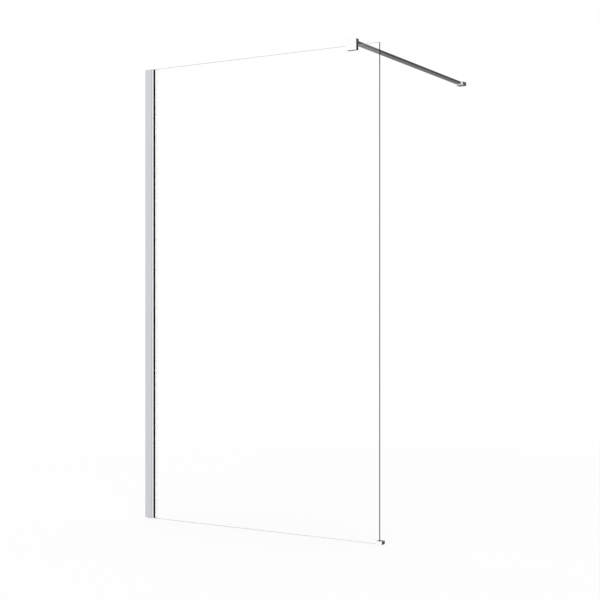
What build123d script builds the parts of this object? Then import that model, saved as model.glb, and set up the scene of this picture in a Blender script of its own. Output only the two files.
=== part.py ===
from build123d import *
import os

# Frameless shower screen. All sizes are in millimetres.
# X runs along the glass away from the wall, Y from the glass to the second wall, and Z is up.
# The origin is on the floor, at the wall, in the middle of the thickness of the glass.

# Glass
screen_width = 1162.0        # wall to the free edge of the glass
glass_height = 2000.0
glass_thickness = 8.0
glass_arris = 0.3            # small bevel along every edge of the glass

# Clearances
slide_gap = 0.3              # between pieces that slide past each other
seat_gap = 0.15              # round a piece that sits in a recess
thread_gap = 0.1             # round a screw in its thread
travel_gap = 0.5             # left at the end of a slide

# Adjustment
profile_travel_in = 2.0      # the glass can move this far towards the wall
profile_travel_out = 13.0    # and this far away from it
reach_travel = 5.0           # the bar can be this much short or long in its socket

# Glass profile, from the glass outwards
gasket_thickness = 4.0
pocket_wall = 1.5
chamber_width = 3.5
profile_wall = 1.5
profile_web = 2.0
pocket_depth = 12.3
edge_spacer_thickness = 2.0
edge_spacer_width = 6.0
edge_spacer_height = 40.0
edge_spacer_end = 200.0      # first spacer from the end of the profile
gasket_floor_gap = 1.0
gasket_flange = 2.8
corner_round = 0.4

# Wall channel
channel_wall = 1.7
channel_web = 2.0
channel_depth = 35.5
profile_rise = 2.4           # the wall profile starts this far above the lower edge of the glass
profile_drop = 1.0           # and ends this far below its upper edge
wall_hole_radius = 2.75
wall_hole_count = 4
wall_hole_end = 96.3         # first hole from the end of the channel
port_bore = 1.5              # screw ports for the end caps
port_wall = 1.4
port_slit = 1.0
port_clearance = 1.1

# End caps of the channel and plugs of the profile
cap_thickness = 2.0
cap_round = 1.2
cap_notch_gap = 0.8
heel_length = 24.0           # block under the lower cap that stands on the floor
heel_clearance = 0.7
cap_screw_radius = 1.4
cap_screw_head = 2.7
cap_screw_length = 12.0
cap_screw_head_height = 1.3
plug_gap = 0.5               # between the plug's plate and the channel when fully in
plug_peg_length = 8.0
plug_peg_gap = 0.2

# Lock screws, from the shower side
lock_screw_radius = 2.0
lock_screw_length = 7.2
lock_screw_inset = 11.5      # from the front edge of the channel
lock_screw_end = 150.0       # first screw from the end of the profile
lock_slot_gap = 0.2
lock_head_radius = 4.0
lock_head_height = 2.4
lock_key = 2.5
lock_nut_width = 7.0
lock_nut_thickness = 3.2
cover_radius = 5.5
cover_height = 4.2
cover_wall = 1.0
cover_round = 0.9

# Glass clamp
clamp_edge_distance = 100.0  # free edge of the glass to the near side of the clamp
clamp_side = 9.85            # solid on each side of the bar
clamp_bite = 20.5            # how far the clamp reaches down the glass
clamp_bridge = 9.55          # solid between the glass and the bar
clamp_roof = 3.65            # solid over the bar
clamp_front = 7.0
clamp_rear = 4.0
clamp_round = 0.3
liner_thickness = 1.0
liner_inset = 0.5
plate_thickness = 2.0
plate_inset = 2.5
plate_drop = 1.0
clamp_screw_radius = 2.5
clamp_screw_length = 3.6
clamp_screw_key = 2.5
clamp_screw_side = 10.5      # from the side of the clamp
clamp_screw_rise = 7.0       # above the lower face of the clamp

# Support bar
bar_width = 25.0
bar_height = 11.0
bar_wall = 1.5
bar_round = 0.4
bar_seat_wall = 3.0          # solid in front of the bar in the clamp
bar_plug_flange = 1.5
bar_plug_length = 12.0
bar_screw_radius = 2.0
bar_screw_length = 3.4
bar_screw_key = 2.0
bar_screw_spread = 14.0

# Socket on the second wall
second_wall = 1134.0         # middle of the glass to the second wall
wall_pad_thickness = 1.0
wall_pad_inset = 0.5
base_depth = 16.0
spigot_length = 7.0
bar_insert = 13.0
sleeve_side = 5.2
sleeve_cover = 2.7
sleeve_round = 0.4
bracket_screw_length = 2.6
base_hole_radius = 2.75
base_head_radius = 4.5
base_head_depth = 2.0
pad_hole_margin = 0.5

# Foot under the free corner
foot_arm = 11.0              # how far it holds the glass
foot_nose = 15.0
foot_cheek = 8.5
foot_height = 13.4
foot_round = 0.3
foot_liner_drop = 0.5
foot_pad_thickness = 1.0
foot_pad_inset = 0.5
foot_screw_length = 7.0
floor_hole_radius = 2.25
floor_hole_length = 5.2
floor_head_radius = 4.0
foot_cap_radius = 4.8
foot_cap_thickness = 2.5
foot_cap_round = 0.4

# Heights
glass_bottom = foot_pad_thickness
glass_top = glass_bottom + glass_height
profile_bottom = glass_bottom + profile_rise
profile_top = glass_top - profile_drop
channel_bottom = profile_bottom + cap_thickness
channel_top = profile_top - cap_thickness
channel_length = channel_top - channel_bottom
channel_middle = (channel_bottom + channel_top) / 2

# Half widths across the glass
glass_half = glass_thickness / 2
pocket_half = glass_half + gasket_thickness
chamber_inner = pocket_half + pocket_wall
leg_inner = chamber_inner + chamber_width
profile_half = leg_inner + profile_wall
channel_inner = profile_half + slide_gap
channel_half = channel_inner + channel_wall

# Places along the glass
lock_screw_x = channel_depth - lock_screw_inset
leg_start = channel_web + profile_travel_in + travel_gap
web_start = lock_screw_x + lock_nut_width / 2 + profile_travel_in + travel_gap
pocket_floor = web_start + profile_web
glass_start = pocket_floor + edge_spacer_thickness
profile_end = pocket_floor + pocket_depth
gasket_end = profile_end + gasket_flange
port_radius = port_bore + port_wall
port_x = channel_web + port_bore + travel_gap
port_y = leg_inner - port_clearance - port_radius
lock_heights = [channel_bottom + lock_screw_end, channel_middle, channel_top - lock_screw_end]
spacer_heights = [channel_bottom + edge_spacer_end, channel_middle, channel_top - edge_spacer_end]
wall_hole_pitch = (channel_length - 2 * wall_hole_end) / (wall_hole_count - 1)

# Clamp and bar
clamp_width = bar_width + 2 * seat_gap + 2 * clamp_side
clamp_x = screen_width - clamp_edge_distance - clamp_width / 2
clamp_bottom = glass_top - clamp_bite
clamp_slot_top = glass_top + liner_thickness
bar_bottom = clamp_slot_top + clamp_bridge + seat_gap
bar_top = bar_bottom + bar_height
bar_middle = (bar_bottom + bar_top) / 2
clamp_top = bar_top + seat_gap + clamp_roof
liner_half = glass_half + liner_thickness
plate_half = liner_half + plate_thickness
clamp_front_y = -liner_half - clamp_front
clamp_rear_y = plate_half + clamp_rear
bar_start = clamp_front_y + bar_seat_wall

# Socket on the second wall
base_rear = second_wall - wall_pad_thickness
base_front = base_rear - base_depth
sleeve_length = bar_insert + reach_travel + travel_gap + spigot_length
sleeve_front = base_front - sleeve_length
spigot_front = base_front - spigot_length
bar_end = sleeve_front + bar_insert
sleeve_half = bar_width / 2 + slide_gap + sleeve_side
sleeve_bottom = bar_bottom - slide_gap - sleeve_cover
sleeve_top = bar_top + slide_gap + sleeve_cover

# Foot
foot_start = screen_width - foot_arm
foot_inner = screen_width + liner_thickness
foot_end = foot_inner + foot_nose
foot_half = liner_half + foot_cheek
foot_top = foot_pad_thickness + foot_height
floor_hole_x = foot_inner + foot_nose / 2
foot_cap_seat = foot_top - foot_cap_thickness

sides = (-1, 1)


# A box between two corners, given as its span along each axis
def block(x_span, y_span, z_span):
    spans = (x_span, y_span, z_span)
    middle = [(low + high) / 2 for low, high in spans]
    size = [high - low for low, high in spans]
    return Pos(*middle) * Box(*size)


# A rectangle in the plane of the floor
def flat(x_span, y_span):
    middle = ((x_span[0] + x_span[1]) / 2, (y_span[0] + y_span[1]) / 2)
    return Pos(*middle) * Rectangle(x_span[1] - x_span[0], y_span[1] - y_span[0])


# The span from inner to outer on one side of the glass
def on_side(side, inner, outer):
    return tuple(sorted((side * inner, side * outer)))


# A round bar from a start point along a direction
def rod(radius, start, direction, length):
    upright = Cylinder(radius, length, align=(Align.CENTER, Align.CENTER, Align.MIN))
    return Plane(origin=start, z_dir=direction).location * upright


# A cone from a start point along a direction, wide end first
def cone(wide, narrow, start, direction, length):
    upright = Cone(wide, narrow, length, align=(Align.CENTER, Align.CENTER, Align.MIN))
    return Plane(origin=start, z_dir=direction).location * upright


# A six-sided key recess that starts at a face and goes in along a direction
def key_recess(key, start, direction, depth):
    outline = RegularPolygon(key / 2, 6, major_radius=False)
    return Plane(origin=start, z_dir=direction).location * extrude(outline, amount=depth)


# A headless screw with its tip at a point; it is turned from its outer end
def grub_screw(radius, length, key, tip, outward):
    inward = tuple(-part for part in outward)
    outer_end = tuple(place + length * part for place, part in zip(tip, outward))
    return rod(radius, tip, outward, length) - key_recess(key, outer_end, inward, length / 2)


# A flat bar along Y with rounded long edges
def long_bar(width, height, corner, y_start, y_end):
    outline = RectangleRounded(width, height, corner)
    frame = Plane(origin=(clamp_x, y_start, bar_middle), x_dir=(1, 0, 0), z_dir=(0, 1, 0))
    return extrude(frame * outline, amount=y_end - y_start)


# Rounds the edges of a shape that keep to one plane, given as an axis, a place and a test
def round_edges(shape, radius, wanted):
    return fillet([edge for edge in shape.edges() if wanted(edge.center())], radius)


def near(value, target):
    return abs(value - target) < 0.01


def save(name, shapes):
    shapes = shapes if isinstance(shapes, list) else [shapes]
    solids = [solid for shape in shapes for solid in shape.solids()]
    whole = solids[0] if len(solids) == 1 else Compound(children=solids)
    export_step(whole, "parts/" + name + ".step")


# Outer channel, screwed to the wall
def wall_channel():
    section = flat((0, channel_depth), (-channel_half, channel_half))
    section -= flat((channel_web, channel_depth), (-channel_inner, channel_inner))
    for side in sides:
        centre = Pos(port_x, side * port_y)
        slit_half = port_slit / 2
        port = centre * Circle(port_radius) - centre * Circle(port_bore)
        port -= flat((port_x, port_x + port_radius), (side * port_y - slit_half, side * port_y + slit_half))
        section += port
    channel = extrude(Pos(0, 0, channel_bottom) * section, amount=channel_length)
    for index in range(wall_hole_count):
        height = channel_bottom + wall_hole_end + index * wall_hole_pitch
        channel -= rod(wall_hole_radius, (-channel_web, 0, height), (1, 0, 0), 3 * channel_web)
    for height in lock_heights:
        start = (lock_screw_x, channel_inner - channel_wall, height)
        channel -= rod(lock_screw_radius + lock_slot_gap, start, (0, 1, 0), 3 * channel_wall)
    return channel


# Plate that closes one end of the channel, with a notch for the glass
def cap_plate(z_low, z_outer):
    notch_x = glass_start - profile_travel_in - cap_notch_gap
    notch_half = glass_half + cap_notch_gap
    outline = flat((0, channel_depth), (-channel_half, channel_half))
    outline -= flat((notch_x, channel_depth), (-notch_half, notch_half))
    plate = extrude(Pos(0, 0, z_low) * outline, amount=cap_thickness)

    def rounded(centre):
        outside = near(abs(centre.Y), channel_half) or near(centre.X, 0)
        return near(centre.Z, z_outer) and outside

    return round_edges(plate, cap_round, rounded)


# The recesses for the two screws of a cap
def cap_screw_recess(z_outer, inward):
    recess = []
    for side in sides:
        start = (port_x, side * port_y, z_outer)
        wide = cap_screw_head + thread_gap
        narrow = cap_screw_radius + thread_gap
        recess.append(cone(wide, narrow, start, inward, cap_screw_head_height))
        recess.append(rod(narrow, start, inward, 2 * cap_thickness))
    return recess


def channel_cap_top():
    cap = cap_plate(channel_top, profile_top)
    for recess in cap_screw_recess(profile_top, (0, 0, -1)):
        cap -= recess
    return cap


# The lower cap also has a heel that stands on the floor
def channel_cap_bottom():
    cap = cap_plate(profile_bottom, profile_bottom)
    heel_half = port_y - cap_screw_head - heel_clearance
    cap += block((0, heel_length), (-heel_half, heel_half), (0, profile_bottom + cap_thickness / 2))
    for recess in cap_screw_recess(profile_bottom, (0, 0, 1)):
        cap -= recess
    return cap


def cap_screws():
    screws = []
    for z_outer, inward in ((profile_top, (0, 0, -1)), (profile_bottom, (0, 0, 1))):
        for side in sides:
            start = (port_x, side * port_y, z_outer)
            head = cone(cap_screw_head, cap_screw_radius, start, inward, cap_screw_head_height)
            shank = rod(cap_screw_radius, start, inward, cap_screw_length)
            screws.append(head + shank - key_recess(cap_screw_radius, start, inward, cap_screw_head_height))
    return screws


# Inner profile, which slides in the channel and holds the glass
def glass_profile():
    section = flat((leg_start, profile_end), (-profile_half, profile_half))
    section = fillet(section.vertices().group_by(Axis.X)[-1], corner_round)
    section -= flat((leg_start, web_start), (-leg_inner, leg_inner))
    section -= flat((pocket_floor, profile_end), (-pocket_half, pocket_half))
    for side in sides:
        section -= flat((pocket_floor, profile_end - profile_wall), on_side(side, chamber_inner, leg_inner))
    profile = extrude(Pos(0, 0, channel_bottom) * section, amount=channel_length)
    slot_half = lock_screw_radius + lock_slot_gap
    slot_low = lock_screw_x - profile_travel_out - slot_half
    slot_high = lock_screw_x + profile_travel_in + slot_half
    for height in lock_heights:
        middle = ((slot_low + slot_high) / 2, leg_inner - profile_wall, height)
        frame = Plane(origin=middle, x_dir=(1, 0, 0), z_dir=(0, 1, 0))
        profile -= extrude(frame * SlotOverall(slot_high - slot_low, 2 * slot_half), amount=3 * profile_wall)
    return profile


# Plugs for the ends of the profile, one each side of the glass at each end
def profile_end_plugs():
    plugs = []
    plate_start = channel_depth + profile_travel_in + plug_gap
    inner = glass_half + plug_peg_gap
    for side in sides:
        plate_y = on_side(side, inner, profile_half)
        peg_y = on_side(side, chamber_inner + plug_peg_gap, leg_inner - plug_peg_gap)
        peg_x = (plate_start, profile_end - profile_wall - plug_peg_gap)
        plate = block((plate_start, gasket_end), plate_y, (channel_top, profile_top))
        plugs.append(plate + block(peg_x, peg_y, (channel_top - plug_peg_length, channel_top)))
        plate = block((plate_start, gasket_end), plate_y, (profile_bottom, channel_bottom))
        plugs.append(plate + block(peg_x, peg_y, (channel_bottom, channel_bottom + plug_peg_length)))
    return plugs


# Black strip that grips the glass; its flange covers the end of the profile
def gasket(side):
    stem = flat((pocket_floor + gasket_floor_gap, profile_end), on_side(side, glass_half, pocket_half))
    flange = flat((profile_end, gasket_end), on_side(side, glass_half, profile_half))
    flange = fillet(flange.vertices().group_by(Axis.X)[-1], corner_round)
    return extrude(Pos(0, 0, channel_bottom) * (stem + flange), amount=channel_length)


# Soft blocks between the edge of the glass and the floor of its pocket
def glass_edge_spacers():
    half_width = edge_spacer_width / 2
    half_height = edge_spacer_height / 2
    spacers = []
    for height in spacer_heights:
        z_span = (height - half_height, height + half_height)
        spacers.append(block((pocket_floor, glass_start), (-half_width, half_width), z_span))
    return spacers


def glass_panel():
    sheet = block((glass_start, screen_width), (-glass_half, glass_half), (glass_bottom, glass_top))
    return chamfer(sheet.edges(), glass_arris)


def profile_lock_screws():
    screws = []
    for height in lock_heights:
        seat = (lock_screw_x, channel_half, height)
        outer = (lock_screw_x, channel_half + lock_head_height, height)
        screw = rod(lock_screw_radius, seat, (0, -1, 0), lock_screw_length)
        screw += rod(lock_head_radius, seat, (0, 1, 0), lock_head_height)
        screws.append(screw - key_recess(lock_key, outer, (0, -1, 0), lock_head_height * 2 / 3))
    return screws


def profile_lock_nuts():
    nuts = []
    half = lock_nut_width / 2
    for height in lock_heights:
        x_span = (lock_screw_x - half, lock_screw_x + half)
        nut = block(x_span, (leg_inner - lock_nut_thickness, leg_inner), (height - half, height + half))
        start = (lock_screw_x, leg_inner - 2 * lock_nut_thickness, height)
        nuts.append(nut - rod(lock_screw_radius + thread_gap, start, (0, 1, 0), 3 * lock_nut_thickness))
    return nuts


# Domed covers that snap over the heads of the lock screws
def lock_screw_covers():
    covers = []
    for height in lock_heights:
        seat = (lock_screw_x, channel_half, height)
        outside = rod(cover_radius, seat, (0, 1, 0), cover_height)
        outside = fillet(outside.edges().sort_by(Axis.Y)[-1:], cover_round)
        inside = rod(cover_radius - cover_wall, seat, (0, 1, 0), cover_height - cover_wall)
        covers.append(outside - inside)
    return covers


# Block over the top edge of the glass that carries the bar
def clamp_body():
    half = clamp_width / 2
    x_span = (clamp_x - half, clamp_x + half)
    body = block(x_span, (clamp_front_y, clamp_rear_y), (clamp_bottom, clamp_top))
    body = fillet(body.edges(), clamp_round)
    past = (x_span[0] - clamp_side, x_span[1] + clamp_side)
    body -= block(past, (-liner_half, plate_half), (clamp_bottom - clamp_bite, clamp_slot_top))
    seat_width = bar_width + 2 * seat_gap
    seat_height = bar_height + 2 * seat_gap
    body -= long_bar(seat_width, seat_height, bar_round, bar_start, clamp_rear_y + clamp_rear)
    for x, height in clamp_screw_places():
        start = (x, plate_half - clamp_rear, height)
        body -= rod(clamp_screw_radius + thread_gap, start, (0, 1, 0), 3 * clamp_rear)
    for x, y in bar_screw_places():
        body -= rod(bar_screw_radius + thread_gap, (x, y, bar_middle), (0, 0, 1), clamp_top - bar_bottom)
    return body


def clamp_screw_places():
    reach = clamp_width / 2 - clamp_screw_side
    return [(clamp_x + side * reach, clamp_bottom + clamp_screw_rise) for side in sides]


def bar_screw_places():
    return [(clamp_x + side * bar_screw_spread / 2, plate_half / 2) for side in sides]


# Soft liner over the edge of the glass, with a leg down each face
def clamp_liner():
    half = clamp_width / 2 - liner_inset
    x_span = (clamp_x - half, clamp_x + half)
    low = clamp_bottom + liner_inset
    liner = block(x_span, (-liner_half, liner_half), (low, clamp_slot_top))
    return liner - block((x_span[0] - 1, x_span[1] + 1), (-glass_half, glass_half), (low - 1, glass_top))


# Plate that spreads the push of the clamp's screws over the liner
def clamp_pressure_plate():
    half = clamp_width / 2 - plate_inset
    z_span = (clamp_bottom + liner_inset, glass_top - plate_drop)
    return block((clamp_x - half, clamp_x + half), (liner_half, plate_half), z_span)


def clamp_grub_screws():
    places = clamp_screw_places()
    size = (clamp_screw_radius, clamp_screw_length, clamp_screw_key)
    return [grub_screw(*size, (x, plate_half, height), (0, 1, 0)) for x, height in places]


def bar_lock_screws():
    size = (bar_screw_radius, bar_screw_length, bar_screw_key)
    return [grub_screw(*size, (x, y, bar_top), (0, 0, 1)) for x, y in bar_screw_places()]


# Hollow flat bar from the clamp to the second wall
def support_bar():
    start = bar_start + bar_plug_flange
    end = bar_end - bar_plug_flange
    outside = long_bar(bar_width, bar_height, bar_round, start, end)
    hollow = (bar_width - 2 * bar_wall, bar_height - 2 * bar_wall)
    return outside - long_bar(*hollow, bar_round / 2, start - 1, end + 1)


def bar_end_plugs():
    inner = (bar_width - 2 * bar_wall - 2 * seat_gap, bar_height - 2 * bar_wall - 2 * seat_gap)
    flange_end = bar_start + bar_plug_flange
    near_plug = long_bar(bar_width, bar_height, bar_round, bar_start, flange_end)
    near_plug += long_bar(*inner, bar_round / 2, flange_end, flange_end + bar_plug_length)
    flange_start = bar_end - bar_plug_flange
    far_plug = long_bar(bar_width, bar_height, bar_round, flange_start, bar_end)
    far_plug += long_bar(*inner, bar_round / 2, flange_start - bar_plug_length, flange_start)
    return [near_plug, far_plug]


def bracket_screw_places():
    lengthwise = (sleeve_front + bar_insert / 2, base_front - spigot_length / 2)
    return [(clamp_x + side * bar_screw_spread / 2, y) for y in lengthwise for side in sides]


# Front part of the socket: the bar goes in at its front and the spigot of the base at its rear
def wall_sleeve():
    x_span = (clamp_x - sleeve_half, clamp_x + sleeve_half)
    sleeve = block(x_span, (sleeve_front, base_front), (sleeve_bottom, sleeve_top))
    sleeve = round_edges(sleeve, sleeve_round, lambda centre: not near(centre.Y, base_front))
    hole_width = bar_width + 2 * slide_gap
    hole_height = bar_height + 2 * slide_gap
    sleeve -= long_bar(hole_width, hole_height, bar_round, sleeve_front - 1, base_front + 1)
    for x, y in bracket_screw_places():
        start = (x, y, sleeve_bottom - sleeve_cover)
        sleeve -= rod(bar_screw_radius + thread_gap, start, (0, 0, 1), sleeve_cover + bar_middle - sleeve_bottom)
    return sleeve


# Rear part of the socket, screwed to the wall through its middle
def wall_base():
    x_span = (clamp_x - sleeve_half, clamp_x + sleeve_half)
    base = block(x_span, (base_front, base_rear), (sleeve_bottom, sleeve_top))
    base = fillet(base.edges().filter_by(Axis.Y), sleeve_round)
    base += long_bar(bar_width, bar_height, bar_round, spigot_front, base_front + base_depth / 2)
    middle = (clamp_x, spigot_front, bar_middle)
    base -= rod(base_hole_radius, middle, (0, 1, 0), spigot_length + base_depth)
    return base - cone(base_head_radius, base_hole_radius, middle, (0, 1, 0), base_head_depth)


def wall_pad():
    half = sleeve_half - wall_pad_inset
    z_span = (sleeve_bottom + wall_pad_inset, sleeve_top - wall_pad_inset)
    pad = block((clamp_x - half, clamp_x + half), (base_rear, second_wall), z_span)
    middle = (clamp_x, base_rear, bar_middle)
    return pad - rod(base_hole_radius + pad_hole_margin, middle, (0, 1, 0), wall_pad_thickness)


def bracket_grub_screws():
    size = (bar_screw_radius, bracket_screw_length, bar_screw_key)
    return [grub_screw(*size, (x, y, bar_bottom), (0, 0, -1)) for x, y in bracket_screw_places()]


# Block that holds the free bottom corner of the glass
def foot_body():
    z_span = (foot_pad_thickness, foot_top)
    body = block((foot_start, foot_end), (-foot_half, foot_half), z_span)
    body = round_edges(body, foot_round, lambda centre: not near(centre.Z, foot_pad_thickness))
    body -= block((foot_start - 1, foot_inner), (-liner_half, liner_half), (0, foot_top + 1))
    middle = (floor_hole_x, 0, foot_pad_thickness)
    shoulder = (floor_hole_x, 0, foot_pad_thickness + floor_hole_length)
    seat = (floor_hole_x, 0, foot_cap_seat)
    body -= rod(floor_hole_radius, middle, (0, 0, 1), foot_height)
    body -= rod(floor_head_radius, shoulder, (0, 0, 1), foot_height)
    body -= rod(foot_cap_radius + seat_gap, seat, (0, 0, 1), foot_height)
    body -= rod(bar_screw_radius + thread_gap, foot_screw_tip(), (0, 1, 0), 2 * foot_cheek)
    return body


def foot_screw_tip():
    return (foot_start + foot_arm / 2, liner_half, foot_pad_thickness + foot_height / 2)


# Soft liner round the corner of the glass
def foot_liner():
    z_span = (foot_pad_thickness, foot_top - foot_liner_drop)
    liner = block((foot_start + liner_inset, foot_inner), (-liner_half, liner_half), z_span)
    return liner - block((foot_start, screen_width), (-glass_half, glass_half), (0, foot_top))


def foot_grub_screw():
    return grub_screw(bar_screw_radius, foot_screw_length, bar_screw_key, foot_screw_tip(), (0, 1, 0))


def foot_screw_cap():
    cap = rod(foot_cap_radius, (floor_hole_x, 0, foot_cap_seat), (0, 0, 1), foot_cap_thickness)
    return fillet(cap.edges().sort_by(Axis.Z)[-1:], foot_cap_round)


# Pad under the foot and the corner of the glass
def foot_base_pad():
    half = foot_half - foot_pad_inset
    x_span = (foot_start + foot_pad_inset, foot_end - foot_pad_inset)
    pad = block(x_span, (-half, half), (0, foot_pad_thickness))
    return pad - rod(floor_hole_radius + pad_hole_margin, (floor_hole_x, 0, 0), (0, 0, 1), foot_pad_thickness)


os.makedirs("parts", exist_ok=True)

save("wall_channel", wall_channel())
save("channel_cap_top", channel_cap_top())
save("channel_cap_bottom", channel_cap_bottom())
save("cap_screws", cap_screws())
save("profile_lock_screws", profile_lock_screws())
save("profile_lock_nuts", profile_lock_nuts())
save("lock_screw_covers", lock_screw_covers())

save("glass_profile", glass_profile())
save("profile_end_plugs", profile_end_plugs())
save("front_gasket", gasket(-1))
save("rear_gasket", gasket(1))
save("glass_edge_spacers", glass_edge_spacers())
save("glass_panel", glass_panel())

save("clamp_body", clamp_body())
save("clamp_liner", clamp_liner())
save("clamp_pressure_plate", clamp_pressure_plate())
save("clamp_grub_screws", clamp_grub_screws())
save("bar_lock_screws", bar_lock_screws())
save("support_bar", support_bar())
save("bar_end_plugs", bar_end_plugs())

save("wall_sleeve", wall_sleeve())
save("wall_base", wall_base())
save("wall_pad", wall_pad())
save("bracket_grub_screws", bracket_grub_screws())

save("foot_body", foot_body())
save("foot_liner", foot_liner())
save("foot_grub_screw", foot_grub_screw())
save("foot_screw_cap", foot_screw_cap())
save("foot_base_pad", foot_base_pad())
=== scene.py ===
import math

import bmesh
import bpy
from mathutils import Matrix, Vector


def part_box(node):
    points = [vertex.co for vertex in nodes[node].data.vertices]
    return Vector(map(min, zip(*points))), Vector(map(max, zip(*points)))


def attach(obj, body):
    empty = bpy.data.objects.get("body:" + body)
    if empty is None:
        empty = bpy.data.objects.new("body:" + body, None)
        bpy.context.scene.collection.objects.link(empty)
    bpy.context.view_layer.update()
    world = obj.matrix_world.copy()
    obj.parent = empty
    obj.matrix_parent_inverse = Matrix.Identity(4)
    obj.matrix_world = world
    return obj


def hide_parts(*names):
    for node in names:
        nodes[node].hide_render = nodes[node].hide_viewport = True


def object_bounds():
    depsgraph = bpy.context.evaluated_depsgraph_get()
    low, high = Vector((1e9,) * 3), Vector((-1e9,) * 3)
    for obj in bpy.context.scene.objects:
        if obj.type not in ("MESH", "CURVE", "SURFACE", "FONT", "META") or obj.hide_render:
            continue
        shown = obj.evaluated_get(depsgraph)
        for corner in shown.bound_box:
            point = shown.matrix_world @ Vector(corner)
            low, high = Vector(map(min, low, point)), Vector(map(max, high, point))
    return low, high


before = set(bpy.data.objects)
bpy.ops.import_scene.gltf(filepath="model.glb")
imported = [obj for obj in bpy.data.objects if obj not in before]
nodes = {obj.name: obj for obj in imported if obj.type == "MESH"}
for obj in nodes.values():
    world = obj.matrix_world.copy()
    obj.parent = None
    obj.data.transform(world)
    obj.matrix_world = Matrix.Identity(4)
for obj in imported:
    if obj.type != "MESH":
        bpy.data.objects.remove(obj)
cadLow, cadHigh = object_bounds()
glassLow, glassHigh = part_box("glass_panel")
print("frame loaded:", len(nodes), "pieces")


# Camera: it stands level, in front of the free edge and beyond it

cameraValues = {
    "beyondFreeEdge": 2.1654,     # metres from the free edge, along the glass
    "inFrontOfGlass": 4.2815,
    "aboveGlassFoot": 0.9725,
    "azimuth": 30.6015,           # degrees towards the wall
    "lens": 72.15,
    "sensor": 36.0,
    "nearest": 0.1,
    "farthest": 100.0,
}


def makeCamera(values):
    data = bpy.data.cameras.new("photoCamera")
    data.lens = values["lens"]
    data.sensor_width = values["sensor"]
    data.sensor_fit = "HORIZONTAL"
    data.clip_start = values["nearest"]
    data.clip_end = values["farthest"]
    camera = bpy.data.objects.new("photoCamera", data)
    corner = Vector((glassHigh.x, glassLow.y, glassLow.z))
    away = Vector((values["beyondFreeEdge"], -values["inFrontOfGlass"], values["aboveGlassFoot"]))
    camera.location = corner + away
    camera.rotation_euler = (math.radians(90), 0, math.radians(values["azimuth"]))
    bpy.context.scene.collection.objects.link(camera)
    bpy.context.scene.camera = camera


makeCamera(cameraValues)
bpy.context.scene.view_settings.view_transform = "Standard"
print("camera in place")


# Node tree helpers

def addNode(tree, kind, inputs=None, **settings):
    node = tree.nodes.new(kind)
    for key, value in settings.items():
        setattr(node, key, value)
    for key, value in (inputs or {}).items():
        setInput(tree, node.inputs[key], value)
    return node


def setInput(tree, socket, value):
    if isinstance(value, bpy.types.NodeSocket):
        tree.links.new(value, socket)
    else:
        socket.default_value = value


def doMath(tree, operation, first, second=0.0, third=0.0, clamp=False):
    inputs = {0: first, 1: second, 2: third}
    return addNode(tree, "ShaderNodeMath", inputs, operation=operation, use_clamp=clamp).outputs[0]


def doVectorMath(tree, operation, first, second=(0.0, 0.0, 0.0)):
    return addNode(tree, "ShaderNodeVectorMath", {0: first, 1: second}, operation=operation).outputs


def splitVector(tree, vector):
    return addNode(tree, "ShaderNodeSeparateXYZ", {0: vector}).outputs


def joinVector(tree, x, y, z):
    return addNode(tree, "ShaderNodeCombineXYZ", {0: x, 1: y, 2: z}).outputs[0]


def remap(tree, value, fromLow, fromHigh, toLow=0.0, toHigh=1.0, smooth=True):
    inputs = {"Value": value, "From Min": fromLow, "From Max": fromHigh, "To Min": toLow, "To Max": toHigh}
    node = addNode(tree, "ShaderNodeMapRange", inputs)
    node.interpolation_type = "SMOOTHSTEP" if smooth else "LINEAR"
    return node.outputs[0]


def addNoise(tree, vector, scale, detail):
    inputs = {"Vector": vector, "Scale": scale, "Detail": detail}
    return addNode(tree, "ShaderNodeTexNoise", inputs).outputs[0]


noiseRange = (0.3, 0.7)           # where nearly all values of a noise lie


def spreadNoise(tree, noise, low=0.0, high=1.0):
    return remap(tree, noise, *noiseRange, low, high)


def blendValues(tree, factor, first, second):
    node = addNode(tree, "ShaderNodeMix", {0: factor, 2: first, 3: second}, data_type="FLOAT")
    return node.outputs[0]


def blendColours(tree, factor, first, second):
    node = addNode(tree, "ShaderNodeMix", {0: factor, 6: first, 7: second}, data_type="RGBA")
    return node.outputs[2]


def newShaderGroup(name, inputs, outputs):
    group = bpy.data.node_groups.new(name, "ShaderNodeTree")
    for label, kind, value in inputs:
        socket = group.interface.new_socket(name=label, in_out="INPUT", socket_type="NodeSocket" + kind)
        if value is not None:
            socket.default_value = value
    for label, kind in outputs:
        group.interface.new_socket(name=label, in_out="OUTPUT", socket_type="NodeSocket" + kind)
    source = group.nodes.new("NodeGroupInput")
    target = group.nodes.new("NodeGroupOutput")
    return group, source.outputs, target.inputs


def useGroup(tree, group, **inputs):
    node = tree.nodes.new("ShaderNodeGroup")
    node.node_tree = group
    for label, value in inputs.items():
        setInput(tree, node.inputs[label], value)
    return node.outputs


# Studio: a white surround. Metal also sees a darker back, as it does in the photograph

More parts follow.
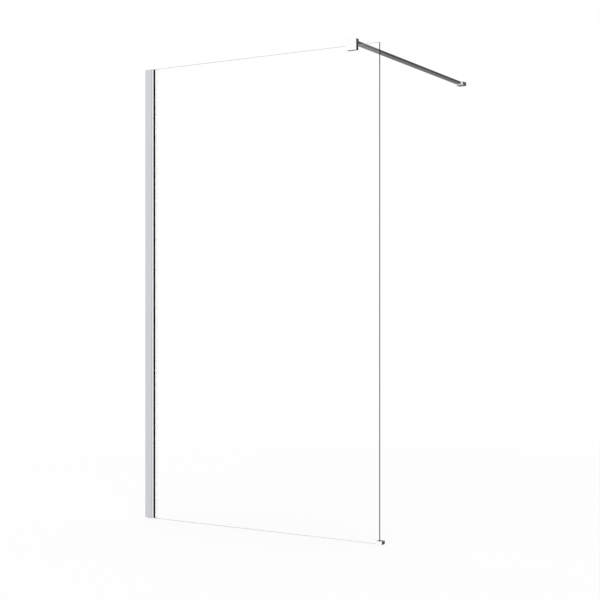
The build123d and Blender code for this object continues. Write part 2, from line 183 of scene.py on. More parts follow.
studioValues = {
    "surround": 1.0,              # what the eye, glass and metal see in front and all round
    "fill": 0.92,                 # the even light on dull surfaces
    "back": 0.72,                 # what metal sees behind the screen
    "backStart": (-0.2, 0.2),     # how far backwards a direction leans where the back starts, is full
    "ceiling": 0.6,               # what metal sees overhead
    "ceilingHeight": (0.35, 0.55),   # rise at which the ceiling starts, is full
    "flagHeight": (0.27, 0.36),   # rise of the dark flags over and under the horizon: fully dark, gone
    "flagChange": (-0.12, -0.02),   # rise over which a flag turns from its lower to its upper level
    # each flag: bearing from +X towards +Y, degrees to each side where it is fully dark and where it
    # is gone, lower and upper level
    "flags": (
        (59.4, 11.0, 20.0, 0.075, 0.075),
        (120.6, 17.0, 26.0, 0.17, 0.3),
        (318.6, 8.0, 16.0, 0.3, 0.3),
    ),
    "floorSize": 7.0,
    "floorRim": (0.6, 0.95),      # share of half the floor at which it starts to fade, is gone
    "floorColour": (0.93, 0.93, 0.93, 1.0),
    "floorGlow": 0.88,
    "speckleScale": 60.0,
    "speckle": 0.05,
    "lampPower": 34.0,
    "lampSize": 3.0,
    "lampPlace": (-1.2, -2.6, 4.2),
    "lampTarget": (0.6, 0.3, 0.8),
}


def seenByEye(tree, rays):
    return doMath(tree, "MAXIMUM", rays["Is Camera Ray"], rays["Is Transmission Ray"])


def addFlags(tree, values, parts, metalSees):
    above = remap(tree, parts["Z"], *values["flagChange"])
    level = doVectorMath(tree, "NORMALIZE", joinVector(tree, parts["X"], parts["Y"], 0.0))[0]
    low = remap(tree, doMath(tree, "ABSOLUTE", parts["Z"]), *values["flagHeight"], 1.0, 0.0)
    for bearing, inner, outer, under, over in values["flags"]:
        axis = (math.cos(math.radians(bearing)), math.sin(math.radians(bearing)), 0.0)
        cosine = doVectorMath(tree, "DOT_PRODUCT", level, axis)["Value"]
        onFlag = remap(tree, cosine, math.cos(math.radians(outer)), math.cos(math.radians(inner)))
        shade = blendValues(tree, above, under, over)
        metalSees = blendValues(tree, doMath(tree, "MULTIPLY", onFlag, low), metalSees, shade)
    return metalSees


def makeSurround(values):
    world = bpy.data.worlds.new("studioSurround")
    bpy.context.scene.world = world
    world.use_nodes = True
    world.cycles.sampling_method = "NONE"
    tree = world.node_tree
    tree.nodes.clear()
    parts = splitVector(tree, addNode(tree, "ShaderNodeTexCoord").outputs["Generated"])
    behind = remap(tree, parts["Y"], *values["backStart"])
    metalSees = blendValues(tree, behind, values["surround"], values["back"])
    overhead = remap(tree, parts["Z"], *values["ceilingHeight"])
    metalSees = blendValues(tree, overhead, metalSees, values["ceiling"])
    metalSees = addFlags(tree, values, parts, metalSees)
    rays = addNode(tree, "ShaderNodeLightPath").outputs
    # a ray that metal or glass has mirrored and nothing dull has scattered
    mirrored = doMath(tree, "GREATER_THAN", rays["Glossy Depth"], 0.5)
    mirrored = doMath(tree, "MULTIPLY", mirrored, doMath(tree, "SUBTRACT", 1.0, rays["Is Diffuse Ray"]))
    strength = blendValues(tree, seenByEye(tree, rays), values["fill"], values["surround"])
    strength = blendValues(tree, mirrored, strength, metalSees)
    background = addNode(tree, "ShaderNodeBackground", {"Color": (1, 1, 1, 1), "Strength": strength})
    output = addNode(tree, "ShaderNodeOutputWorld")
    tree.links.new(background.outputs[0], output.inputs[0])


def makeFloor(values):
    half = values["floorSize"] / 2
    middle = (cadLow + cadHigh) / 2
    square = ((-1, -1), (1, -1), (1, 1), (-1, 1))
    corners = [(middle.x + x * half, middle.y + y * half, 0.0) for x, y in square]
    mesh = bpy.data.meshes.new("paleFloor")
    mesh.from_pydata(corners, [], [(0, 1, 2, 3)])
    floor = bpy.data.objects.new("paleFloor", mesh)
    # metal near the floor sees the darker back instead, as in the photograph
    floor.visible_glossy = False
    bpy.context.scene.collection.objects.link(floor)
    material = bpy.data.materials.new("paleFloor")
    material.use_nodes = True
    tree = material.node_tree
    tree.nodes.clear()
    place = addNode(tree, "ShaderNodeTexCoord").outputs["Object"]
    outward = doVectorMath(tree, "DISTANCE", place, (middle.x, middle.y, 0))["Value"]
    fades, gone = values["floorRim"]
    rim = remap(tree, outward, fades * half, gone * half)
    speckle = spreadNoise(tree, addNoise(tree, place, values["speckleScale"], 4.0), 0.0, values["speckle"])
    tone = blendColours(tree, speckle, values["floorColour"], (1, 1, 1, 1))
    dull = addNode(tree, "ShaderNodeBsdfDiffuse", {"Color": tone})
    glow = addNode(tree, "ShaderNodeEmission", {"Color": (1, 1, 1, 1), "Strength": values["surround"]})
    seen = seenByEye(tree, addNode(tree, "ShaderNodeLightPath").outputs)
    share = doMath(tree, "MULTIPLY", seen, blendValues(tree, rim, values["floorGlow"], 1.0))
    mixed = addNode(tree, "ShaderNodeMixShader", {0: share, 1: dull.outputs[0], 2: glow.outputs[0]})
    output = addNode(tree, "ShaderNodeOutputMaterial")
    tree.links.new(mixed.outputs[0], output.inputs[0])
    mesh.materials.append(material)


def makeLamp(values):
    data = bpy.data.lights.new("softLamp", "AREA")
    data.shape = "DISK"
    data.size = values["lampSize"]
    data.energy = values["lampPower"]
    lamp = bpy.data.objects.new("softLamp", data)
    lamp.location = values["lampPlace"]
    aim = Vector(values["lampTarget"]) - lamp.location
    lamp.rotation_euler = aim.to_track_quat("-Z", "Y").to_euler()
    lamp.visible_glossy = False
    lamp.visible_camera = False
    lamp.visible_transmission = False
    bpy.context.scene.collection.objects.link(lamp)


makeSurround(studioValues)
makeFloor(studioValues)
makeLamp(studioValues)
print("studio lit")


# Shared surface effects. A pair of limits is where an effect starts and where it is full

effectValues = {
    "patchLimits": (0.5, 0.72),
    "streakLimits": (0.35, 0.75),
    "streakFineness": 9.0,        # how much finer the streaks of a smudge are than the smudge
    "spotRadius": (0.05, 0.2),    # smallest and largest, in cells
    "ringLimits": (0.72, 0.9),    # share of a spot's radius
    "ringFades": (0.92, 1.0),
    "cellsWithoutSpot": 0.55,     # share of all cells
    "dustSlope": (0.5, 0.95),     # how far upwards a face looks
    "dustLimits": (0.4, 0.75),
    "dustDrift": 35.0,
}


def makeDrawnGrain():
    group, given, result = newShaderGroup(
        "drawnGrain",
        [("Vector", "Vector", None), ("Across", "Float", 1800.0), ("Along", "Float", 6.0),
         ("Strength", "Float", 0.2)],
        [("Lines", "Float"), ("Tone", "Float")])
    scale = joinVector(group, given["Across"], given["Across"], given["Along"])
    stretched = doVectorMath(group, "MULTIPLY", given["Vector"], scale)[0]
    lines = spreadNoise(group, addNoise(group, stretched, 1.0, 3.0))
    setInput(group, result["Lines"], lines)
    dip = doMath(group, "MULTIPLY", lines, given["Strength"])
    setInput(group, result["Tone"], doMath(group, "SUBTRACT", 1.0, dip))
    return group


def makeSmudges(values):
    group, given, result = newShaderGroup(
        "handSmudges",
        [("Vector", "Vector", None), ("Size", "Float", 14.0), ("Amount", "Float", 0.5)],
        [("Mask", "Float")])
    finer = doMath(group, "MULTIPLY", given["Size"], values["streakFineness"])
    patch = remap(group, addNoise(group, given["Vector"], given["Size"], 2.0), *values["patchLimits"])
    streak = remap(group, addNoise(group, given["Vector"], finer, 6.0), *values["streakLimits"])
    mask = doMath(group, "MULTIPLY", doMath(group, "MULTIPLY", patch, streak), given["Amount"])
    setInput(group, result["Mask"], mask)
    return group


def makeWaterSpots(values):
    group, given, result = newShaderGroup(
        "waterSpots",
        [("Vector", "Vector", None), ("Spread", "Float", 30.0), ("Amount", "Float", 0.5)],
        [("Mask", "Float")])
    cells = addNode(group, "ShaderNodeTexVoronoi", {"Vector": given["Vector"], "Scale": given["Spread"]})
    chance = splitVector(group, cells.outputs["Color"])
    radius = remap(group, chance["X"], 0.0, 1.0, *values["spotRadius"], smooth=False)
    reach = doMath(group, "DIVIDE", cells.outputs["Distance"], radius)
    inner = remap(group, reach, *values["ringLimits"])
    ring = doMath(group, "SUBTRACT", inner, remap(group, reach, *values["ringFades"]))
    present = doMath(group, "GREATER_THAN", chance["Y"], values["cellsWithoutSpot"])
    mask = doMath(group, "MULTIPLY", doMath(group, "MULTIPLY", ring, present), given["Amount"])
    setInput(group, result["Mask"], mask)
    return group


def makeDust(values):
    group, given, result = newShaderGroup(
        "settledDust",
        [("Vector", "Vector", None), ("Grain", "Float", 900.0), ("Amount", "Float", 0.3)],
        [("Mask", "Float")])
    up = splitVector(group, addNode(group, "ShaderNodeNewGeometry").outputs["Normal"])["Z"]
    grain = remap(group, addNoise(group, given["Vector"], given["Grain"], 4.0), *values["dustLimits"])
    drift = addNoise(group, given["Vector"], values["dustDrift"], 3.0)
    lying = doMath(group, "MULTIPLY", remap(group, up, *values["dustSlope"]), grain)
    mask = doMath(group, "MULTIPLY", doMath(group, "MULTIPLY", lying, drift), given["Amount"])
    setInput(group, result["Mask"], mask)
    return group


# Marks the narrow bands where the faces of the glass meet its free edge and its level edges
def makeGroundEdge():
    group, given, result = newShaderGroup(
        "groundEdge",
        [("Vector", "Vector", None), ("Low", "Vector", None), ("High", "Vector", None),
         ("Bevel", "Float", 0.001)],
        [("Upright", "Float"), ("Level", "Float")])
    low = splitVector(group, doVectorMath(group, "SUBTRACT", given["Vector"], given["Low"])[0])
    high = splitVector(group, doVectorMath(group, "SUBTRACT", given["High"], given["Vector"])[0])
    nearFace = doMath(group, "LESS_THAN", doMath(group, "MINIMUM", low["Y"], high["Y"]), given["Bevel"])
    nearSide = doMath(group, "LESS_THAN", high["X"], given["Bevel"])
    nearEnd = doMath(group, "LESS_THAN", doMath(group, "MINIMUM", low["Z"], high["Z"]), given["Bevel"])
    setInput(group, result["Upright"], doMath(group, "MULTIPLY", nearFace, nearSide))
    setInput(group, result["Level"], doMath(group, "MULTIPLY", nearFace, nearEnd))
    return group


drawnGrain = makeDrawnGrain()
handSmudges = makeSmudges(effectValues)
waterSpots = makeWaterSpots(effectValues)
settledDust = makeDust(effectValues)
groundEdge = makeGroundEdge()


# Materials

def newMaterial(name):
    material = bpy.data.materials.new(name)
    material.use_nodes = True
    tree = material.node_tree
    tree.nodes.clear()
    shader = addNode(tree, "ShaderNodeBsdfPrincipled")
    output = addNode(tree, "ShaderNodeOutputMaterial")
    tree.links.new(shader.outputs[0], output.inputs[0])
    place = addNode(tree, "ShaderNodeTexCoord").outputs["Object"]
    return material, tree, shader.inputs, place


def tinted(tree, colour, tone):
    scaled = addNode(tree, "ShaderNodeVectorMath", {0: colour, "Scale": tone}, operation="SCALE")
    return scaled.outputs[0]


def setBump(tree, shader, height, distance, strength):
    inputs = {"Height": height, "Distance": distance, "Strength": strength}
    setInput(tree, shader["Normal"], addNode(tree, "ShaderNodeBump", inputs).outputs[0])


# Each layer is a mask and the roughness that it adds where it is full
def setRoughness(tree, shader, rough, *layers):
    for mask, added in layers:
        rough = doMath(tree, "MULTIPLY_ADD", mask, added, rough)
    setInput(tree, shader["Roughness"], rough)


def addGrain(tree, place, values):
    return useGroup(tree, drawnGrain, Vector=place, Across=values["grainAcross"],
                    Along=values["grainAlong"], Strength=values["grainDip"])


def addSmudges(tree, place, values):
    return useGroup(tree, handSmudges, Vector=place, Size=values["smudgeSize"],
                    Amount=values["smudges"])["Mask"]


def addSpots(tree, place, values):
    return useGroup(tree, waterSpots, Vector=place, Spread=values["spotSpread"],
                    Amount=values["spots"])["Mask"]


def addDust(tree, place, values):
    return useGroup(tree, settledDust, Vector=place, Amount=values["dust"])["Mask"]


aluminiumValues = {
    "metal": 0.5,
    "grainDip": 0.03, "grainRough": 0.08, "grainDepth": 0.00002, "grainBump": 0.5,
    "smudges": 0.6, "smudgeSize": 6.0, "smudgeRough": 0.12,
    "spots": 0.5, "spotSpread": 45.0, "spotRough": 0.1,
    "dust": 0.3, "dustColour": (0.6, 0.6, 0.59, 1.0),
}
channelValues = dict(aluminiumValues, colour=(0.63, 0.638, 0.664), roughness=0.24,
                     grainAcross=1800.0, grainAlong=5.0)
profileValues = dict(aluminiumValues, colour=(0.825, 0.84, 0.878), roughness=0.2,
                     grainAcross=2100.0, grainAlong=4.0)


def makeAluminium(name, values):
    material, tree, shader, place = newMaterial(name)
    grain = addGrain(tree, place, values)
    smudge = addSmudges(tree, place, values)
    spots = addSpots(tree, place, values)
    dust = addDust(tree, place, values)
    metal = tinted(tree, values["colour"], grain["Tone"])
    setInput(tree, shader["Base Color"], blendColours(tree, dust, metal, values["dustColour"]))
    shader["Metallic"].default_value = values["metal"]
    setRoughness(tree, shader, values["roughness"], (grain["Lines"], values["grainRough"]),
                 (smudge, values["smudgeRough"]), (spots, values["spotRough"]))
    setBump(tree, shader, grain["Lines"], values["grainDepth"], values["grainBump"])
    return material


chromeValues = {
    "smudgeSize": 22.0, "smudgeRough": 0.1,
    "spotSpread": 160.0, "spotFilm": -0.06, "spotRough": 0.16,
    "dust": 0.25, "dustRough": 0.4, "dustColour": (0.62, 0.62, 0.6, 1.0),
    "platingScale": 220.0, "platingDepth": 0.000004, "platingBump": 0.4,
}
brightValues = dict(chromeValues, colour=(0.98, 0.98, 0.985), metal=1.0, roughness=0.035,
                    smudges=0.8, spots=0.9)
socketValues = dict(chromeValues, colour=(0.78, 0.783, 0.79), metal=0.94, roughness=0.1,
                    smudges=0.6, spots=0.7)


def makeChrome(name, values):
    material, tree, shader, place = newMaterial(name)
    smudge = addSmudges(tree, place, values)
    spots = addSpots(tree, place, values)
    dust = addDust(tree, place, values)
    plating = addNoise(tree, place, values["platingScale"], 2.0)
    film = doMath(tree, "MULTIPLY_ADD", spots, values["spotFilm"], 1.0)
    metal = tinted(tree, values["colour"], film)
    setInput(tree, shader["Base Color"], blendColours(tree, dust, metal, values["dustColour"]))
    shader["Metallic"].default_value = values["metal"]
    setRoughness(tree, shader, values["roughness"], (smudge, values["smudgeRough"]),
                 (spots, values["spotRough"]), (dust, values["dustRough"]))
    setBump(tree, shader, plating, values["platingDepth"], values["platingBump"])
    return material


glassValues = {
    "colour": (1.0, 1.0, 1.0, 1.0), "roughness": 0.0, "ior": 1.5,
    "smudges": 0.5, "smudgeSize": 5.0, "smudgeRough": 0.012,
    "spots": 0.5, "spotSpread": 26.0, "spotRough": 0.03,
    "bevel": 0.00029,             # width of the ground band on each face, in metres
    # the ground bands are real and rough; their near-black green colour is painted shade, standing in for
    # the dark line that refraction gives at the glass edges
    "paintedEdgeShade": (0.03, 0.04, 0.038, 1.0), "groundRough": 0.3,
    "groundLevel": 0.25,          # strength of the band on the level edges, as a share of the free edge's
    "paintedEdgeGlow": (0.026, 0.05, 0.043, 1.0),   # painted glow: green emission painted into the ground edges, standing in for light gathered there
    "waveScale": 3.2, "waveBend": 1.2, "waveDepth": 0.00002, "waveBump": 0.3,
}


def makeGlass(name, values):
    material, tree, shader, place = newMaterial(name)
    spots = addSpots(tree, place, values)
    smudge = addSmudges(tree, place, values)
    ground = useGroup(tree, groundEdge, Vector=place, Low=glassLow, High=glassHigh, Bevel=values["bevel"])
    level = doMath(tree, "MULTIPLY", ground["Level"], values["groundLevel"])
    mask = doMath(tree, "ADD", level, ground["Upright"], clamp=True)
    setRoughness(tree, shader, values["roughness"], (smudge, values["smudgeRough"]),
                 (spots, values["spotRough"]), (mask, values["groundRough"]))
    # painted shade: the ground bands take the near-black green colour
    colour = blendColours(tree, mask, values["colour"], values["paintedEdgeShade"])
    setInput(tree, shader["Base Color"], colour)
    black = (0.0, 0.0, 0.0, 1.0)
    edges = doMath(tree, "ADD", ground["Level"], ground["Upright"], clamp=True)
    # painted glow: the ground edges give off green light as emission, though the glass is no lamp
    setInput(tree, shader["Emission Color"], blendColours(tree, edges, black, values["paintedEdgeGlow"]))
    shader["Emission Strength"].default_value = 1.0
    shader["Metallic"].default_value = 0.0
    shader["Transmission Weight"].default_value = 1.0
    shader["IOR"].default_value = values["ior"]
    inputs = {"Vector": place, "Scale": values["waveScale"], "Distortion": values["waveBend"],
              "Detail": 1.0}
    wave = addNode(tree, "ShaderNodeTexWave", inputs, bands_direction="X").outputs["Fac"]
    setBump(tree, shader, wave, values["waveDepth"], values["waveBump"])
    return material


sealValues = {
    "colour": (0.0022, 0.0022, 0.0024), "roughness": 0.65, "gloss": 0.12,
    "grainAcross": 1100.0, "grainAlong": 3.0, "grainDip": 0.3, "grainRough": 0.12,
    "grainDepth": 0.00006, "grainBump": 0.6,
    "smudges": 0.5, "smudgeSize": 9.0, "dust": 0.6, "paleColour": (0.006, 0.006, 0.0063, 1.0),
}


def makeSeal(name, values):
    material, tree, shader, place = newMaterial(name)
    grain = addGrain(tree, place, values)
    dust = addDust(tree, place, values)
    smudge = addSmudges(tree, place, values)
    rubber = tinted(tree, values["colour"], grain["Tone"])
    pale = doMath(tree, "MAXIMUM", smudge, dust)
    setInput(tree, shader["Base Color"], blendColours(tree, pale, rubber, values["paleColour"]))
    setRoughness(tree, shader, values["roughness"], (grain["Lines"], values["grainRough"]))
    shader["Specular IOR Level"].default_value = values["gloss"]
    setBump(tree, shader, grain["Lines"], values["grainDepth"], values["grainBump"])
    return material


mouldingValues = {
    "roughness": 0.42, "flowScale": 60.0, "flowTones": (0.96, 1.02),
    "sparkScale": 2600.0, "sparkRough": 0.18, "sparkDepth": 0.00004, "sparkBump": 0.6,
    "dust": 0.4, "dustColour": (0.5, 0.5, 0.48, 1.0),
}
greyValues = dict(mouldingValues, colour=(0.63, 0.635, 0.65))
paleValues = dict(mouldingValues, colour=(0.84, 0.845, 0.85))


def makeMoulding(name, values):
    material, tree, shader, place = newMaterial(name)
    spark = addNoise(tree, place, values["sparkScale"], 3.0)
    flow = addNoise(tree, place, values["flowScale"], 2.0)
    dust = addDust(tree, place, values)
    plastic = tinted(tree, values["colour"], spreadNoise(tree, flow, *values["flowTones"]))
    setInput(tree, shader["Base Color"], blendColours(tree, dust, plastic, values["dustColour"]))
    setRoughness(tree, shader, values["roughness"], (spark, values["sparkRough"]))
    setBump(tree, shader, spark, values["sparkDepth"], values["sparkBump"])
    return material


padValues = {
    "colour": (0.8, 0.81, 0.81), "roughness": 0.4, "seeThrough": 0.45, "ior": 1.41,
    "paintedGlow": 0.0, "glowTones": (0.95, 1.0),
    "cloudScale": 180.0, "cloudTones": (0.92, 1.03), "cloudRough": 0.2, "cloudDepth": 0.00003,
    "cloudBump": 0.5,
}
# the rear seal gets a painted glow, so its part in the crevice beside the front seal reads bright instead
# of shaded
milkySealValues = dict(padValues, colour=(0.95, 0.955, 0.95), roughness=0.3, seeThrough=0.15,
                       paintedGlow=0.38)


def makePad(name, values):
    material, tree, shader, place = newMaterial(name)
    cloud = addNoise(tree, place, values["cloudScale"], 4.0)
    milk = tinted(tree, values["colour"], spreadNoise(tree, cloud, *values["cloudTones"]))
    setInput(tree, shader["Base Color"], milk)
    setRoughness(tree, shader, values["roughness"], (cloud, values["cloudRough"]))
    shader["Transmission Weight"].default_value = values["seeThrough"]
    shader["IOR"].default_value = values["ior"]
    # painted glow: emission lights the seal where it sits in shade, though it is no lamp; the pads get
    # none
    shader["Emission Strength"].default_value = values["paintedGlow"]
    light = tinted(tree, values["colour"], spreadNoise(tree, cloud, *values["glowTones"]))
    setInput(tree, shader["Emission Color"], light)
    setBump(tree, shader, cloud, values["cloudDepth"], values["cloudBump"])
    return material


steelValues = {
    "colour": (0.56, 0.555, 0.55), "roughness": 0.26,
    "grainAcross": 2600.0, "grainAlong": 900.0, "grainDip": 0.18, "grainRough": 0.12,
    "grainDepth": 0.00001, "grainBump": 0.5,
    "smudges": 0.8, "smudgeSize": 120.0, "smudgeRough": 0.2,
}


def makeSteel(name, values):
    material, tree, shader, place = newMaterial(name)
    grain = addGrain(tree, place, values)
    smudge = addSmudges(tree, place, values)
    setInput(tree, shader["Base Color"], tinted(tree, values["colour"], grain["Tone"]))
    shader["Metallic"].default_value = 1.0
    setRoughness(tree, shader, values["roughness"], (grain["Lines"], values["grainRough"]),
                 (smudge, values["smudgeRough"]))
    setBump(tree, shader, grain["Lines"], values["grainDepth"], values["grainBump"])
    return material


channelAluminium = makeAluminium("channelAluminium", channelValues)
profileAluminium = makeAluminium("profileAluminium", profileValues)
polishedChrome = makeChrome("polishedChrome", brightValues)
socketChrome = makeChrome("socketChrome", socketValues)
clearGlass = makeGlass("clearGlass", glassValues)
blackSeal = makeSeal("blackSeal", sealValues)
greyMoulding = makeMoulding("greyMoulding", greyValues)
paleMoulding = makeMoulding("paleMoulding", paleValues)
milkyPad = makePad("milkyPad", padValues)
milkySeal = makePad("milkySeal", milkySealValues)
screwSteel = makeSteel("screwSteel", steelValues)

finishes = {
    channelAluminium: ("wall_channel",),
    profileAluminium: ("glass_profile",),
    polishedChrome: ("clamp_body", "support_bar", "foot_body", "foot_screw_cap", "lock_screw_covers"),
    socketChrome: ("wall_sleeve", "wall_base"),
    clearGlass: ("glass_panel",),
    blackSeal: ("front_gasket", "clamp_liner"),
    milkySeal: ("rear_gasket",),
    greyMoulding: ("channel_cap_top", "profile_end_plugs", "bar_end_plugs"),
    paleMoulding: ("channel_cap_bottom",),
    milkyPad: ("glass_edge_spacers", "foot_liner", "foot_base_pad", "wall_pad"),
    screwSteel: ("cap_screws", "profile_lock_screws", "profile_lock_nuts", "clamp_pressure_plate",
                 "clamp_grub_screws", "bar_lock_screws", "bracket_grub_screws", "foot_grub_screw"),
}


def dressNode(name, material):
    node = nodes[name]
    if not node.material_slots:
        node.data.materials.append(material)
    for slot in node.material_slots:
        slot.material = material


for material, names in finishes.items():
    for name in names:
        dressNode(name, material)
nodes["glass_panel"].visible_shadow = False
print("surfaces finished")


# Screws: real threads and key sockets in place of the plain screws of the solids

screwSheetValues = {
    "rows": 101,
    "columns": 30,
    "tipWidth": 0.62,             # share of the radius that the flat of the tip takes
    "keySides": 6,
    "closingGap": 0.000001,       # metres
    # share of the way along the sheet, from the middle of the tip to the middle of the key's floor
    "tipEnd": 0.05,
    "chamferEnd": 0.1,
    "threadStarts": (0.07, 0.13),
    "threadStops": (0.76, 0.79),
    "shankEnd": 0.8,
    "rimEnd": 0.86,
    "keyWallEnd": 0.93,
}
screwDefaults = {"Radius": 0.002, "Length": 0.006, "Pitch": 0.0007, "Thread Depth": 0.0003,
                 "Head Radius": 0.002, "Head Height": 0.0005, "Key": 0.002, "Key Depth": 0.0015}


def addGroupInput(tree, name, kind, value=None):
    socket = tree.interface.new_socket(name=name, in_out="INPUT", socket_type="NodeSocket" + kind)
    if value is not None:
        socket.default_value = value


def ramp(tree, value, start, end, low=0.0, high=1.0):
    return remap(tree, value, start, end, low, high, smooth=False)


# Height and radius of the screw at each point of the flat sheet that is rolled into it
def screwProfile(tree, given, values, turn, station, angle):
    rise = ramp(tree, station, values["tipEnd"], values["shankEnd"])
    height = doMath(tree, "MULTIPLY", rise, given["Length"])
    flat = ramp(tree, station, 0.0, values["tipEnd"], 0.0, values["tipWidth"])
    chamfer = ramp(tree, station, values["tipEnd"], values["chamferEnd"], 0.0, 1.0 - values["tipWidth"])
    tip = doMath(tree, "ADD", flat, chamfer)

    phase = doMath(tree, "SUBTRACT", doMath(tree, "DIVIDE", height, given["Pitch"]), turn)
    wave = doMath(tree, "MULTIPLY", doMath(tree, "PINGPONG", phase, 0.5), 2.0)
    starts = ramp(tree, station, *values["threadStarts"])
    stops = ramp(tree, station, *values["threadStops"], 1.0, 0.0)
    cut = doMath(tree, "MULTIPLY", doMath(tree, "MULTIPLY", starts, stops), wave)
    cut = doMath(tree, "MULTIPLY", cut, given["Thread Depth"])
    shank = doMath(tree, "SUBTRACT", doMath(tree, "MULTIPLY", tip, given["Radius"]), cut)

    below = doMath(tree, "DIVIDE", doMath(tree, "SUBTRACT", given["Length"], height), given["Head Height"])
    flare = doMath(tree, "SUBTRACT", given["Head Radius"], given["Radius"])
    head = doMath(tree, "SUBTRACT", given["Head Radius"], doMath(tree, "MULTIPLY", below, flare))
    inHead = doMath(tree, "LESS_THAN", below, 1.0)
    body = doMath(tree, "MAXIMUM", shank, doMath(tree, "MULTIPLY", head, inHead))

    side = math.tau / values["keySides"]
    sector = doMath(tree, "SUBTRACT", doMath(tree, "MODULO", angle, side), side / 2)
    halfKey = doMath(tree, "MULTIPLY", given["Key"], 0.5)
    key = doMath(tree, "DIVIDE", halfKey, doMath(tree, "COSINE", sector))
    key = doMath(tree, "MULTIPLY", key, ramp(tree, station, values["keyWallEnd"], 1.0, 1.0, 0.0))
    onRim = ramp(tree, station, values["shankEnd"], values["rimEnd"])
    radius = blendValues(tree, onRim, body, key)
    sinking = ramp(tree, station, values["rimEnd"], values["keyWallEnd"])
    sink = doMath(tree, "MULTIPLY", sinking, given["Key Depth"])
    return doMath(tree, "SUBTRACT", height, sink), radius


def makeScrewTree(values, defaults):
    tree = bpy.data.node_groups.new("turnedScrews", "GeometryNodeTree")
    addGroupInput(tree, "Geometry", "Geometry")
    for name, value in defaults.items():
        addGroupInput(tree, name, "Float", value)
    addGroupInput(tree, "Columns", "Int", values["columns"])
    addGroupInput(tree, "Material", "Material")
    tree.interface.new_socket(name="Geometry", in_out="OUTPUT", socket_type="NodeSocketGeometry")
    given = tree.nodes.new("NodeGroupInput").outputs
    result = tree.nodes.new("NodeGroupOutput").inputs

    inputs = {"Size X": 1.0, "Size Y": 1.0, "Vertices Y": values["rows"],
              "Vertices X": doMath(tree, "ADD", given["Columns"], 1.0)}
    sheet = addNode(tree, "GeometryNodeMeshGrid", inputs).outputs[0]
    place = splitVector(tree, addNode(tree, "GeometryNodeInputPosition").outputs[0])
    turn = doMath(tree, "ADD", place["X"], 0.5)
    station = doMath(tree, "ADD", place["Y"], 0.5)
    angle = doMath(tree, "MULTIPLY", turn, math.tau)
    height, radius = screwProfile(tree, given, values, turn, station, angle)
    across = doMath(tree, "MULTIPLY", radius, doMath(tree, "COSINE", angle))
    back = doMath(tree, "MULTIPLY", radius, doMath(tree, "SINE", angle))

    inputs = {"Geometry": sheet, "Position": joinVector(tree, across, back, height)}
    rolled = addNode(tree, "GeometryNodeSetPosition", inputs).outputs[0]
    inputs = {"Geometry": rolled, "Distance": values["closingGap"]}
    closed = addNode(tree, "GeometryNodeMergeByDistance", inputs).outputs[0]
    outward = addNode(tree, "GeometryNodeInputNamedAttribute", {"Name": "outward"},
                      data_type="FLOAT_VECTOR").outputs[0]
    aim = addNode(tree, "FunctionNodeAlignRotationToVector", {"Vector": outward}, axis="Z")
    inputs = {"Points": given["Geometry"], "Rotation": aim.outputs[0], "Instance": closed}
    placed = addNode(tree, "GeometryNodeInstanceOnPoints", inputs).outputs[0]
    real = addNode(tree, "GeometryNodeRealizeInstances", {0: placed}).outputs[0]
    inputs = {"Geometry": real, "Material": given["Material"]}
    painted = addNode(tree, "GeometryNodeSetMaterial", inputs).outputs[0]
    setInput(tree, result["Geometry"], painted)
    return tree


screwTree = makeScrewTree(screwSheetValues, screwDefaults)


def makeScrews(name, places, values):
    mesh = bpy.data.meshes.new(name + "Places")
    mesh.from_pydata([tip for tip, outward in places], [], [])
    attribute = mesh.attributes.new("outward", "FLOAT_VECTOR", "POINT")
    for index, (tip, outward) in enumerate(places):
        attribute.data[index].vector = outward
    maker = bpy.data.objects.new(name + "Places", mesh)
    bpy.context.scene.collection.objects.link(maker)
    modifier = maker.modifiers.new("screws", "NODES")
    modifier.node_group = screwTree
    given = dict(values, Material=screwSteel)
    for item in screwTree.interface.items_tree:
        if item.item_type == "SOCKET" and item.in_out == "INPUT" and item.name in given:
            modifier[item.identifier] = given[item.name]
    depsgraph = bpy.context.evaluated_depsgraph_get()
    made = bpy.data.meshes.new_from_object(maker.evaluated_get(depsgraph), depsgraph=depsgraph)
    made.name = name
    maker.modifiers.remove(modifier)
    bpy.data.objects.remove(maker)
    return made


def ends(low, high, inset):
    return (low + inset, high - inset)


screwValues = {
    "M5": {"Radius": 0.0025, "Pitch": 0.0008, "Thread Depth": 0.0003, "Head Radius": 0.0025,
           "Head Height": 0.0003, "Key": 0.0025, "Key Depth": 0.0013},
    "M4": {"Radius": 0.002, "Pitch": 0.0007, "Thread Depth": 0.00026, "Head Radius": 0.002,
           "Head Height": 0.0003, "Key": 0.002, "Key Depth": 0.0015},
    "cap": {"Radius": 0.0014, "Pitch": 0.0011, "Thread Depth": 0.0003, "Head Radius": 0.0027,
            "Head Height": 0.0013, "Key": 0.0014, "Key Depth": 0.0012, "Length": 0.012},
}


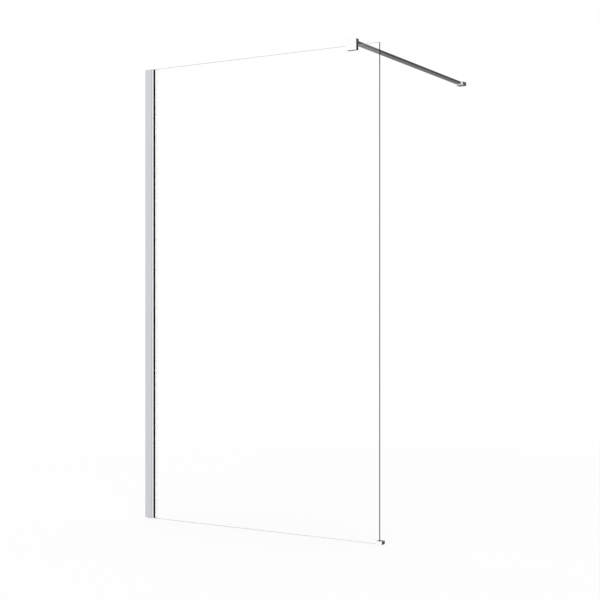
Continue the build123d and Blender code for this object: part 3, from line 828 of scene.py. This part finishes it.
def clampScrews():
    low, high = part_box("clamp_grub_screws")
    size = dict(screwValues["M5"], Length=high.y - low.y)
    middle = (low.z + high.z) / 2
    places = [((x, low.y, middle), (0, 1, 0)) for x in ends(low.x, high.x, size["Radius"])]
    side = makeScrews("clampScrewMesh", places, size)
    low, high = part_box("bar_lock_screws")
    size = dict(screwValues["M4"], Length=high.z - low.z)
    middle = (low.y + high.y) / 2
    places = [((x, middle, low.z), (0, 0, 1)) for x in ends(low.x, high.x, size["Radius"])]
    top = makeScrews("barScrewMesh", places, size)
    return [side, top]


def bracketScrews():
    low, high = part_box("bracket_grub_screws")
    size = dict(screwValues["M4"], Length=high.z - low.z)
    across = ends(low.x, high.x, size["Radius"])
    along = ends(low.y, high.y, size["Radius"])
    places = [((x, y, high.z), (0, 0, -1)) for x in across for y in along]
    return [makeScrews("bracketScrewMesh", places, size)]


def footScrew():
    low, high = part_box("foot_grub_screw")
    size = dict(screwValues["M4"], Length=high.y - low.y)
    place = ((low.x + high.x) / 2, low.y, (low.z + high.z) / 2)
    return [makeScrews("footScrewMesh", [(place, (0, 1, 0))], size)]


def capScrews():
    low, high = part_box("cap_screws")
    size = screwValues["cap"]
    middle = (low.x + high.x) / 2
    across = ends(low.y, high.y, size["Head Radius"])
    places = [((middle, y, high.z - size["Length"]), (0, 0, 1)) for y in across]
    places += [((middle, y, low.z + size["Length"]), (0, 0, -1)) for y in across]
    return [makeScrews("capScrewMesh", places, size)]


def joinMeshes(name, meshes):
    builder = bmesh.new()
    for mesh in meshes:
        builder.from_mesh(mesh)
    joined = bpy.data.meshes.new(name)
    builder.to_mesh(joined)
    builder.free()
    joined.materials.append(screwSteel)
    for mesh in meshes:
        bpy.data.meshes.remove(mesh)
    made = bpy.data.objects.new(name, joined)
    bpy.context.scene.collection.objects.link(made)
    return made


screwSets = (
    ("armScrews", "support_arm", clampScrews, ("clamp_grub_screws", "bar_lock_screws")),
    ("bracketScrews", "wall_bracket", bracketScrews, ("bracket_grub_screws",)),
    ("footScrew", "glass_screen", footScrew, ("foot_grub_screw",)),
    ("capScrews", "wall_side", capScrews, ("cap_screws",)),
)
for name, body, maker, replaced in screwSets:
    screws = joinMeshes(name, maker())
    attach(screws, body)
    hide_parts(*replaced)
    print(name, len(screws.data.polygons), "faces")
print("screws turned")
